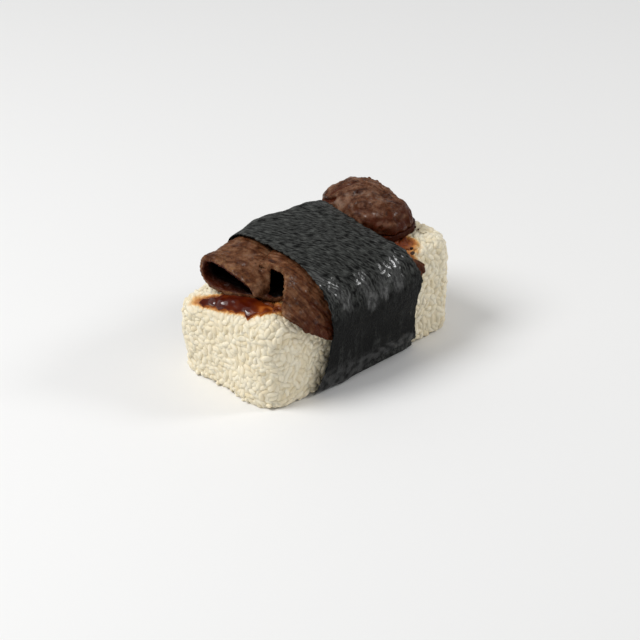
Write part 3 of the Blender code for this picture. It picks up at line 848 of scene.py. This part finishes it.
def fold_painted_shade_and_glaze(place, normal):
    """Dark along the wet lower lip; painted shade on the side by the long edge and in the creases that hold no
    fat.
    """
    low = 0.5 * ease(place.z, 47.5, 44.0) * ease(noise.noise(place / 4.0), -0.6, 0.3)
    # Painted shade on the side turned away from the light.
    painted_shade_side = 0.40 * ease(place.y, 2, -8) * ease(place.z, 53, 48) * ease(noise.noise(place / 2.0), -0.6, 0.3)
    lines = sum(crease(place, *one) for one in FOLD_CREASES if one[0] is not FOLD_FAT_LINE)
    return max(low, painted_shade_side, min(0.55, -0.5 * lines))


def fold_fat_and_painted_highlight(place, normal):
    """A broken streak of fat over the crown, and a light spot on the side by the nori, a painted highlight."""
    streak = -crease(place, FOLD_FAT_LINE, 1.0, 1.2)
    # Painted highlight: a lit patch in the fat colour.
    from_spot = math.hypot((place.y - 10.0) / 4.5, (place.z - 49.3) / 1.6)
    lit = 0.35 * ease(from_spot, 1.0, 0.3) * ease(place.x, 24, 22)
    return max(0.45 * streak * ease(noise.noise(place / 1.6), -0.25, 0.3), lit)


fold = dress_beef(
    even_copy("beef_far_fold", "beef_fold", BEEF_VOXEL, BEEF_SMOOTHING),
    "beef_fold",
    beef_material("beef_fold", (0.098, 0.034, 0.014), (0.030, 0.007, 0.002), (0.205, 0.108, 0.065),
                  (0.34, 0.23, 0.17)),
    far_fibre,
    fold_relief,
    fold_painted_shade_and_glaze,
    fold_fat_and_painted_highlight,
)
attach(fold, "root")
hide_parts("beef_far_fold")


# Nori
# A strip of dried seaweed, wrapped round while crisp: it softens on the warm rice and clings.
# It is almost black, finely streaked, crumpled along the shoulder, and lapped low on the shown side.

NORI_STEP = 1.25
NORI_COLUMNS = 96
NORI_SKIN = 0.42 * MM
NORI_LAP_FROM = 548
NORI_INSET = 0.9 * MM
NORI_LAP_SUNK = 0.95 * MM
NORI_ARC = 0.55
NORI_SLANT = 0.6
NORI_SLANT_END = 278.0
NORI_TOP = ((408, 425), (512, 495))
NORI_SHOULDER = ((484, 500), (536, 518))
NORI_SIDE = (508, 530)
NORI_SHINE_SIZE = (3.8, 10.5)


def nori_outer(tree, x, angle):
    """How far the belt's outer face is from its axis, at x and an angle in degrees from +Y."""
    outward = Vector((0, math.cos(math.radians(angle)), math.sin(math.radians(angle))))
    start = Vector((x, NORI_CENTRE.y, NORI_CENTRE.z)) + outward * 60 * MM
    hit = tree.ray_cast(start, -outward)[0]
    return 60 * MM - (start - hit).length if hit else None


def blurred(values, reach):
    """Each value averaged with its neighbours, nearer ones more; gaps take the nearest value."""
    known = [(i, value) for i, value in enumerate(values) if value is not None]
    filled = [value if value is not None else min(known, key=lambda pair: abs(pair[0] - i))[1]
              for i, value in enumerate(values)]
    weights = [math.exp(-(k / reach) ** 2) for k in range(-2 * reach, 2 * reach + 1)]
    result = []
    for i in range(len(filled)):
        total = 0.0
        share = 0.0
        for k, weight in zip(range(-2 * reach, 2 * reach + 1), weights):
            if 0 <= i + k < len(filled):
                total += filled[i + k] * weight
                share += weight
        result.append(total / share)
    return result


def nori_material():
    """Nearly black green-grey seaweed: fine streaks round the belt partly painted as sheen, an uneven satin
    sheen, painted shade on the side.
    """
    material, nodes, links, shader = new_material("nori")
    around = attribute(nodes, "around")
    wet = attribute(nodes, "wet")

    def pattern(stretch, scale, detail):
        mapping = nodes.new("ShaderNodeMapping")
        mapping.inputs["Scale"].default_value = stretch
        texture = nodes.new("ShaderNodeTexNoise")
        texture.inputs["Scale"].default_value = scale
        texture.inputs["Detail"].default_value = detail
        texture.inputs["Roughness"].default_value = 0.6
        links.new(around.outputs["Vector"], mapping.inputs["Vector"])
        links.new(mapping.outputs["Vector"], texture.inputs["Vector"])
        return texture.outputs["Fac"]

    streaks = pattern((0.85, 0.28, 1.0), 1.5, 7.0)
    fibres = pattern((1.0, 0.7, 1.0), 1.5, 5.0)
    # The sheet's streaks, their grey partly a painted sheen.
    tone = colour_ramp(nodes, links, streaks, (
        (0.41, (0.0008, 0.001, 0.0009)), (0.66, (0.088, 0.092, 0.086))))
    # The side is painted near black as shade, apart from painted streaks of sheen.
    painted_shade_and_sheen = attribute(nodes, "painted_shade_and_sheen")
    shade = nodes.new("ShaderNodeMix")
    shade.data_type = "RGBA"
    shade.inputs["A"].default_value = (0.004, 0.0043, 0.004, 1)
    links.new(painted_shade_and_sheen.outputs["Fac"], shade.inputs["Factor"])
    links.new(tone, shade.inputs["B"])
    links.new(shade.outputs["Result"], shader.inputs["Base Color"])
    rough = nodes.new("ShaderNodeMapRange")
    rough.inputs["From Min"].default_value = 0.32
    rough.inputs["From Max"].default_value = 0.68
    rough.inputs["To Min"].default_value = 0.3
    rough.inputs["To Max"].default_value = 0.58
    links.new(fibres, rough.inputs["Value"])
    links.new(rough.outputs["Result"], shader.inputs["Roughness"])
    both = nodes.new("ShaderNodeMath")
    both.operation = "ADD"
    links.new(streaks, both.inputs[0])
    links.new(fibres, both.inputs[1])
    relief = nodes.new("ShaderNodeBump")
    relief.inputs["Strength"].default_value = 1.0
    relief.inputs["Distance"].default_value = 0.6 * MM
    links.new(both.outputs["Value"], relief.inputs["Height"])
    links.new(relief.outputs["Normal"], shader.inputs["Normal"])
    shader.inputs["Specular IOR Level"].default_value = 0.1
    links.new(wet.outputs["Fac"], shader.inputs["Coat Weight"])
    shader.inputs["Coat Roughness"].default_value = 0.2
    shader.inputs["Coat IOR"].default_value = 1.7
    return material


# Where the crumpled shoulder is moist and shines, as x in millimetres and degrees round the belt
NORI_SHINE = ((-21.5, 491), (-17.0, 503), (-14.0, 512), (-4.0, 506), (-2.0, 518), (4.5, 515), (8.0, 507),
              (12.0, 514), (13.5, 504))


def belt_grid(angles):
    """The belt's two edges at each angle, and how far its outer face is from the axis at each grid point."""
    tree = solid_tree("nori")
    edges = []
    radii = []
    for angle in angles:
        front = between(NORI_FRONT, angle) * MM + NORI_SHIFT
        back = between(NORI_BACK, angle) * MM + NORI_SHIFT
        wide = back - front
        xs = [front + wide * column / (NORI_COLUMNS - 1) for column in range(NORI_COLUMNS)]
        edges.append((front, back))
        inside = [min(max(x, front + NORI_INSET), back - NORI_INSET) for x in xs]
        radii.append(blurred([nori_outer(tree, x, angle) for x in inside], 3))
    for column in range(NORI_COLUMNS):
        line = blurred([row[column] for row in radii], 2)
        for row, radius in zip(radii, line):
            row[column] = radius
    return edges, radii


def ragged(length, seed):
    """How far a torn edge strays at a place along it, in millimetres."""
    coarse = 0.55 * noise.noise(Vector((length / 2.0, seed, 0)))
    return coarse + 0.35 * noise.noise(Vector((length / 0.7, seed + 4.8, 0)))


def nori_belt():
    """The belt as a grid on the solid's outer face, with torn edges, streaks and a crumpled shoulder."""
    rows = int((NORI_END - NORI_START) / NORI_STEP) + 1
    angles = [NORI_START + NORI_STEP * row for row in range(rows)]
    edges, radii = belt_grid(angles)
    mesh = bmesh.new()
    bmesh.ops.create_grid(mesh, x_segments=NORI_COLUMNS - 1, y_segments=rows - 1, size=0.5)
    around = mesh.verts.layers.float_vector.new("around")
    wet = mesh.verts.layers.float.new("wet")
    painted_shade_and_sheen = mesh.verts.layers.float.new("painted_shade_and_sheen")
    for vert in mesh.verts:
        row = round((vert.co.y + 0.5) * (rows - 1))
        column = round((vert.co.x + 0.5) * (NORI_COLUMNS - 1))
        share = column / (NORI_COLUMNS - 1)
        angle = angles[row]
        front, back = edges[row]
        radius = radii[row][column]
        length = angle * NORI_ARC
        if angle < NORI_END - 360:
            radius -= NORI_LAP_SUNK * ease(angle, NORI_END - 360 + 4, NORI_END - 360 - 4)
        front += ragged(length, 3.3) * MM
        back += ragged(length, 13.3) * MM
        x = front + (back - front) * share
        end_wander = 1.3 * noise.noise(Vector((x / (4 * MM), 5.0, 0)))
        end_wander += 0.8 * noise.noise(Vector((x / (1.3 * MM), 9.0, 0)))
        angle += end_wander * ease(angle, NORI_END - 5, NORI_END)
        angle -= 0.4 * ease(x, -14 * MM, 4 * MM) * max(0.0, angle - NORI_LAP_FROM)
        flat = Vector((x / MM, length, 0))
        slanted = flat.x - NORI_SLANT * min(length, NORI_SLANT_END)
        on_top = ease(angle, *NORI_TOP[0]) * ease(angle, *NORI_TOP[1])
        shoulder = ease(angle, *NORI_SHOULDER[0]) * ease(angle, *NORI_SHOULDER[1])
        side = ease(angle, *NORI_SIDE)
        streaks = 0.30 * noise.noise(Vector((slanted / 1.1, length / 5.0, 0)))
        streaks += 0.22 * noise.noise(Vector((slanted / 2.3, length / 9.0, 4)))
        crumple = 1.0 - 2.2 * abs(noise.noise(Vector((flat.x / 4.2, length / 4.6, 2))))
        crumple += 0.6 * (1.0 - 2.2 * abs(noise.noise(Vector((flat.x / 1.5 + 7, length / 1.7, 2)))))
        waves = noise.noise(Vector((flat.x / 9.0, length / 14.0, 6)))
        radius += (1.0 * on_top + 0.3 - 0.2 * side) * streaks * MM
        facets = 0.30 * noise.noise(Vector((flat.x / 1.0, length / 1.3, 12)))
        radius += (0.50 * crumple + 0.6 * facets) * shoulder * MM
        radius += 0.3 * side * waves * MM + 0.05 * crumple * side * MM
        wide, high = NORI_SHINE_SIZE
        to_shine = min(math.hypot((flat.x - at) / wide, (angle - turn) / high) for at, turn in NORI_SHINE)
        shine = ease(to_shine, 1.0, 0.3)
        shine *= 0.35 + 0.65 * ease(noise.noise(Vector((slanted / 0.9, length / 2.4, 30))), -0.3, 0.2)
        by_edge = ease(flat.x, 11, 14) * on_top * ease(noise.noise(flat / 1.3), 0.05, 0.4)
        by_end = 0.6 * ease(angle, 556, 562) * ease(noise.noise(flat / 2.5), -0.4, 0.2)
        vert[wet] = max(shine, 0.8 * by_edge, by_end)
        # Painted sheen in streaks on the side, which is otherwise painted near black as shade.
        sheen = 0.35 * ease(noise.noise(Vector((flat.x / 2.6, length / 12.0, 20))), -0.1, 0.5)
        vert[painted_shade_and_sheen] = 1.0 - side * (1.0 - sheen * ease(angle, 532, 545)) + 0.5 * ease(angle, 545, 552) * sheen
        outward = Vector((0, math.cos(math.radians(angle)), math.sin(math.radians(angle))))
        place = Vector((x, NORI_CENTRE.y, NORI_CENTRE.z)) + outward * radius
        place.z = max(place.z, 0.4 * MM)
        vert.co = place
        vert[around] = Vector((slanted, length, 0))
    bmesh.ops.solidify(mesh, geom=mesh.faces[:], thickness=NORI_SKIN)
    bmesh.ops.recalc_face_normals(mesh, faces=mesh.faces)
    return new_piece("nori_belt", mesh, nori_material())


belt = nori_belt()
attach(belt, "root")
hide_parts("nori")


# Sauce
# Sweet soy glaze that ran off the meat: it pools on the near edge of the rice under the roll,
# sinks in between the grains, and shines red-brown where it is thick.

SAUCE_ROWS = 150
SAUCE_COLUMNS = 100
SAUCE_ALONG = (-18.5, 25.5)
SAUCE_DOWN = (2, 96)
SAUCE_FLOOR = -0.9
SAUCE_HIDDEN = -0.6
SAUCE_SKIN = 0.3 * MM

# Bulges that glint, as y in millimetres and degrees down; drips, as y, degrees run and half width
SAUCE_GLINTS = ((9.8, 54), (5.6, 50), (-6.4, 38))
SAUCE_DRIPS = ((-8.2, 16, 1.5), (-12.4, 7, 1.2), (-2.5, 5, 1.6), (5.5, 4, 1.3), (14.0, 5, 1.5))


def sauce_material():
    """Glaze: orange-brown where it is thin and nearly black-red where it is thick, with a few wet glints."""
    material, nodes, links, shader = new_material("glaze")
    depth = attribute(nodes, "depth")
    colour = colour_ramp(nodes, links, depth.outputs["Fac"], (
        (0.0, (0.42, 0.12, 0.02)), (0.45, (0.16, 0.026, 0.003)), (1.0, (0.060, 0.006, 0.0015))))
    links.new(colour, shader.inputs["Base Color"])
    glint = attribute(nodes, "glint")
    links.new(glint.outputs["Fac"], shader.inputs["Coat Weight"])
    shader.inputs["Coat Roughness"].default_value = 0.06
    shader.inputs["Roughness"].default_value = 0.2
    shader.inputs["Specular IOR Level"].default_value = 0.1
    return material


def sauce_height(y, down):
    """How far the glaze stands over the rice, in millimetres, at y along the edge and some degrees down."""
    reach = between(SAUCE_EDGE, y) + 3.0 * noise.noise(Vector((y / 2.4, 1.0, 0)))
    drip = max(run * math.exp(-((y - at) / wide) ** 2) for at, run, wide in SAUCE_DRIPS)
    along = ease(y, -17.0, -14.5) * ease(y, 19.0, 15.5)
    upper = between(SAUCE_UPPER, y) + 3.0 * noise.noise(Vector((y / 2.0, 7.0, 0)))
    body = ease(down, reach + drip + 2.5, reach + drip - 6) * along * ease(down, upper - 4, upper + 6)
    thick = ease(y, -12, -4)
    ripple = 0.3 * noise.noise(Vector((y / 3.6, down / 14.0, 3)))
    to_glint = min(((y - at) / 2.0) ** 2 + ((down - turn) / 9.0) ** 2 for at, turn in SAUCE_GLINTS)
    bulge = 0.55 * math.exp(-to_glint)
    return SAUCE_FLOOR + (1.4 + 0.5 * thick + ripple + bulge) * body


def sauce_pool():
    """The glaze as a grid over the near top edge of the rice, without the parts that lie below the rice."""
    tree_mesh = rice_block()
    tree = BVHTree.FromBMesh(tree_mesh)
    tree_mesh.free()
    mesh = bmesh.new()
    bmesh.ops.create_grid(mesh, x_segments=SAUCE_COLUMNS - 1, y_segments=SAUCE_ROWS - 1, size=0.5)
    depth = mesh.verts.layers.float.new("depth")
    glint = mesh.verts.layers.float.new("glint")
    heights = {}
    for vert in mesh.verts:
        y = SAUCE_ALONG[0] + (SAUCE_ALONG[1] - SAUCE_ALONG[0]) * (vert.co.y + 0.5)
        down = SAUCE_DOWN[0] + (SAUCE_DOWN[1] - SAUCE_DOWN[0]) * (vert.co.x + 0.5)
        turned = math.radians(down)
        outward = Vector((-math.sin(turned), 0, math.cos(turned)))
        axis = Vector((SAUCE_AXIS[0] * MM, y * MM, SAUCE_AXIS[1] * MM))
        hit, normal, _, _ = tree.ray_cast(axis + outward * 30 * MM, -outward)
        height = sauce_height(y, down)
        vert.co = hit + normal * height * MM
        uneven = 0.3 * noise.noise(Vector((y / 3.2, down / 12.0, 9)))
        vert[depth] = ease(height + uneven, 0.1, 1.1)
        to_glint = min(math.hypot((y - at) / 2.4, (down - turn) / 12.0) for at, turn in SAUCE_GLINTS)
        vert[glint] = ease(to_glint, 1.0, 0.5) * ease(height, 0.3, 0.9)
        heights[vert] = height
    sunk = [face for face in mesh.faces if max(heights[vert] for vert in face.verts) < SAUCE_HIDDEN]
    bmesh.ops.delete(mesh, geom=sunk, context="FACES")
    bmesh.ops.recalc_face_normals(mesh, faces=mesh.faces)
    bmesh.ops.solidify(mesh, geom=mesh.faces[:], thickness=SAUCE_SKIN)
    bmesh.ops.recalc_face_normals(mesh, faces=mesh.faces)
    return new_piece("glaze_pool", mesh, sauce_material())


pool = sauce_pool()
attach(pool, "root")


# Crumbs
# Bits of charred meat that fell from the slices when they were folded, stuck to the wet rice.

# Place and half length of each crumb, in millimetres
CRUMBS = (
    (25.8, -22.2, 38.2, 0.9),
    (27.3, -20.2, 38.7, 0.7),
    (37.4, -11.9, 40.9, 0.8),
    (38.6, -13.0, 40.0, 0.5),
)


def crumbs():
    mesh = bmesh.new()
    for x, y, z, size in CRUMBS:
        shape = Matrix.Diagonal((size * MM, size * 0.8 * MM, size * 0.7 * MM, 1))
        place = Matrix.Translation(Vector((x, y, z)) * MM) @ shape
        bmesh.ops.create_icosphere(mesh, subdivisions=3, radius=1.0, matrix=place)
    for vert in mesh.verts:
        vert.co += noise.noise_vector(vert.co / (0.9 * MM)) * 0.35 * MM
    fibre = mesh.verts.layers.float_vector.new("fibre")
    for vert in mesh.verts:
        vert[fibre] = vert.co / MM
    return new_piece("crumbs", mesh, beef_material(
        "crumbs", (0.05, 0.02, 0.01), (0.02, 0.008, 0.004), (0.09, 0.04, 0.02), (0.2, 0.1, 0.05)))


crumb_piece = crumbs()
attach(crumb_piece, "root")


# Floor, light and camera

floor_mesh = bmesh.new()
bmesh.ops.create_grid(floor_mesh, x_segments=1, y_segments=1, size=3.0)
floor_material = bpy.data.materials.new("floor")
floor_material.use_nodes = True
floor_shader = floor_material.node_tree.nodes["Principled BSDF"]
floor_shader.inputs["Base Color"].default_value = (0.86, 0.86, 0.855, 1)
floor_shader.inputs["Roughness"].default_value = 0.6
floor = new_piece("floor", floor_mesh, floor_material)

world = bpy.data.worlds.new("studio")
world.use_nodes = True
world.node_tree.nodes["Background"].inputs["Color"].default_value = (1.0, 1.0, 1.0, 1)
world.node_tree.nodes["Background"].inputs["Strength"].default_value = 0.42
scene.world = world


def soft_light(name, place, aim, size, watts):
    data = bpy.data.lights.new(name, "AREA")
    data.shape = "DISK"
    data.size = size
    data.energy = watts
    light = bpy.data.objects.new(name, data)
    light.location = place
    light.rotation_euler = (Vector(aim) - Vector(place)).to_track_quat("-Z", "Y").to_euler()
    scene.collection.objects.link(light)


soft_light("key", (-0.55, 0.35, 0.85), (0, 0, 0.02), 0.55, 7.8)
soft_light("back", (0.62, -0.50, 0.58), (0, 0, 0.02), 0.24, 2.1)

AIM = Vector((4.37, 4.65, 7.8)) * MM
TOWARDS_CAMERA = Vector((-0.6184, -0.6184, 0.4848))
CAMERA_DISTANCE = 1.0946
camera_data = bpy.data.cameras.new("camera")
camera_data.sensor_width = 36.0
camera_data.lens = 164.4
camera_data.clip_start = 0.01
camera = bpy.data.objects.new("camera", camera_data)
camera.location = AIM + TOWARDS_CAMERA * CAMERA_DISTANCE
camera.rotation_euler = (-TOWARDS_CAMERA).to_track_quat("-Z", "Y").to_euler()
scene.collection.objects.link(camera)
scene.camera = camera
scene.view_settings.view_transform = "Standard"
